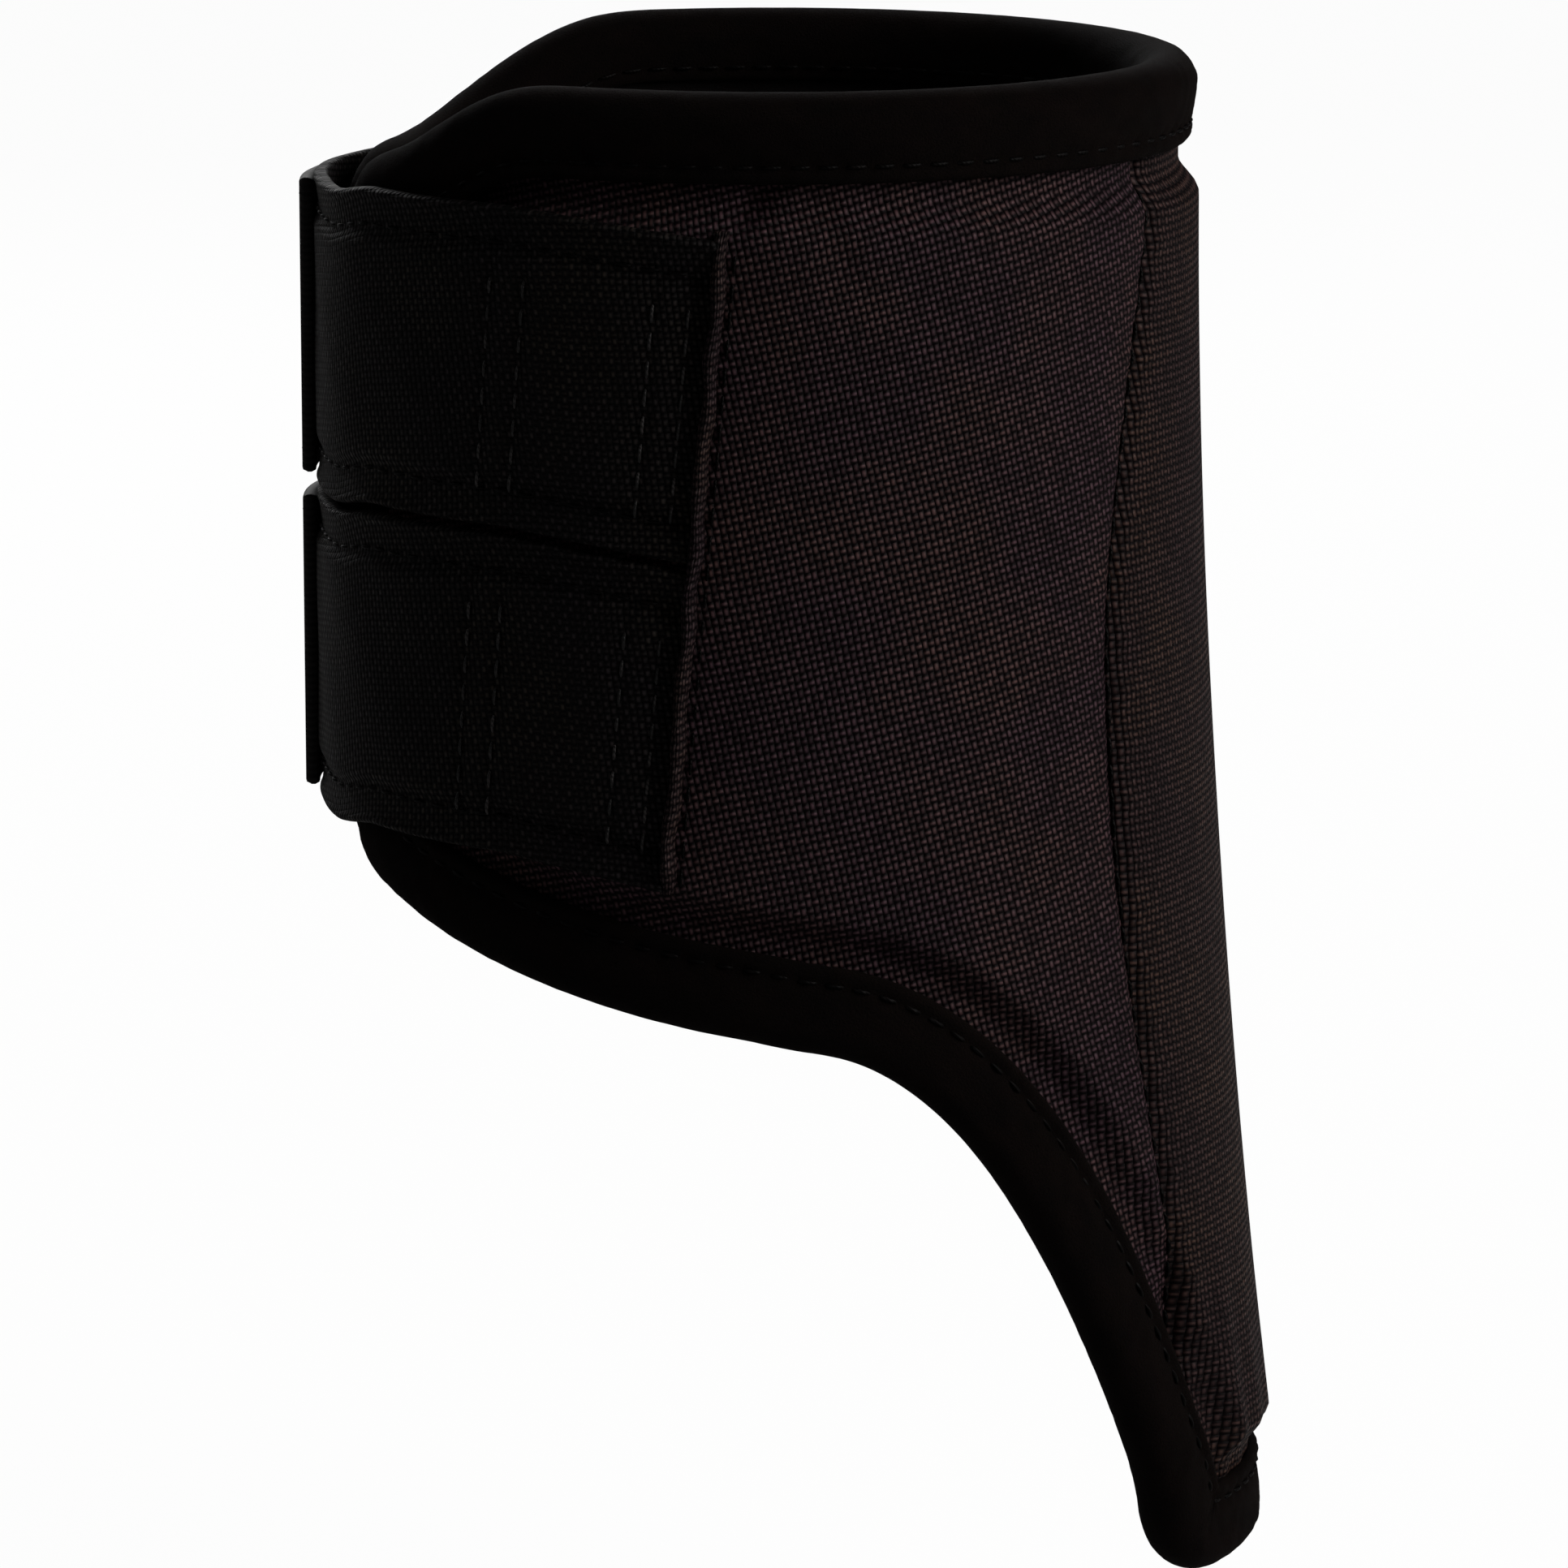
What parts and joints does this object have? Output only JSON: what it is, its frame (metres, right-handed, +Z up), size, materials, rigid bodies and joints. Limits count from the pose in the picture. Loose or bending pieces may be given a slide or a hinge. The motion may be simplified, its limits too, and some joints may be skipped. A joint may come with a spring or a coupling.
{
  "type": "horse hind fetlock boot",
  "caption": "Padded wrap-around hind leg boot for a horse: woven cover, napped rolled bindings, cupped tail behind, and hook-and-loop straps side by side that peel open at the front.",
  "frame": {"origin": "middle of the leg opening, level with the crest of the rim", "axes": "+Z up the leg, +X to the back of the leg over the tail, -X to the closure, -Y to the side that the straps are sewn on"},
  "size_m": [0.1259, 0.103, 0.1955],
  "materials": {
    "cover": "plain weave of thick filament nylon, faint sheen on the threads",
    "foam": "closed-cell foam, hidden inside the wall",
    "pad": "dense foam, hidden inside the rear of the wall",
    "lining": "short brushed pile",
    "binding": "napped velour tape, folded over the edge and stitched",
    "strap": "the cover's weave, double stitched",
    "loop": "short loop pile",
    "tape": "woven tape with small plastic hooks",
    "webbing": "narrow ribbed webbing"
  },
  "bodies": {
    "shell": {"near_cover": "cover", "rear_cover": "cover", "far_cover": "cover", "near_foam": "foam", "rear_foam": "foam", "far_foam": "foam", "rear_pad": "pad", "lining": "lining", "top_binding": "binding", "lower_binding": "binding", "strap_welt": "strap", "loop_panel": "loop", "upper_strap_base": "strap", "lower_strap_base": "strap"},
    "upper_bend": {"upper_strap_bend": "strap", "upper_front_tape": "tape"},
    "upper_end": {"upper_strap_end": "strap", "upper_back_tape": "tape", "upper_hook_tape": "tape", "upper_pull_tab": "webbing"},
    "lower_bend": {"lower_strap_bend": "strap", "lower_front_tape": "tape"},
    "lower_end": {"lower_strap_end": "strap", "lower_back_tape": "tape", "lower_hook_tape": "tape", "lower_pull_tab": "webbing"}
  },
  "joints": [
    {"name": "upper_peel", "type": "hinge", "parent": "shell", "child": "upper_bend", "pos_m": [-0.05745, -0.01052, -0.0361], "axis": [0, 0, 1], "range_deg": [0, 75]},
    {"name": "upper_roll", "type": "hinge", "parent": "upper_bend", "child": "upper_end", "pos_m": [-0.05691, 0.01805, -0.0361], "axis": [0, 0, 1], "range_deg": [0, 75]},
    {"name": "lower_peel", "type": "hinge", "parent": "shell", "child": "lower_bend", "pos_m": [-0.05745, -0.01059, -0.0773], "axis": [0, 0, 1], "range_deg": [0, 75]},
    {"name": "lower_roll", "type": "hinge", "parent": "lower_bend", "child": "lower_end", "pos_m": [-0.05692, 0.01817, -0.0773], "axis": [0, 0, 1], "range_deg": [0, 75]}
  ],
  "couplings": [
    {"joint": "upper_roll", "follows": "upper_peel", "ratio": 1},
    {"joint": "lower_roll", "follows": "lower_peel", "ratio": 1}
  ]
}
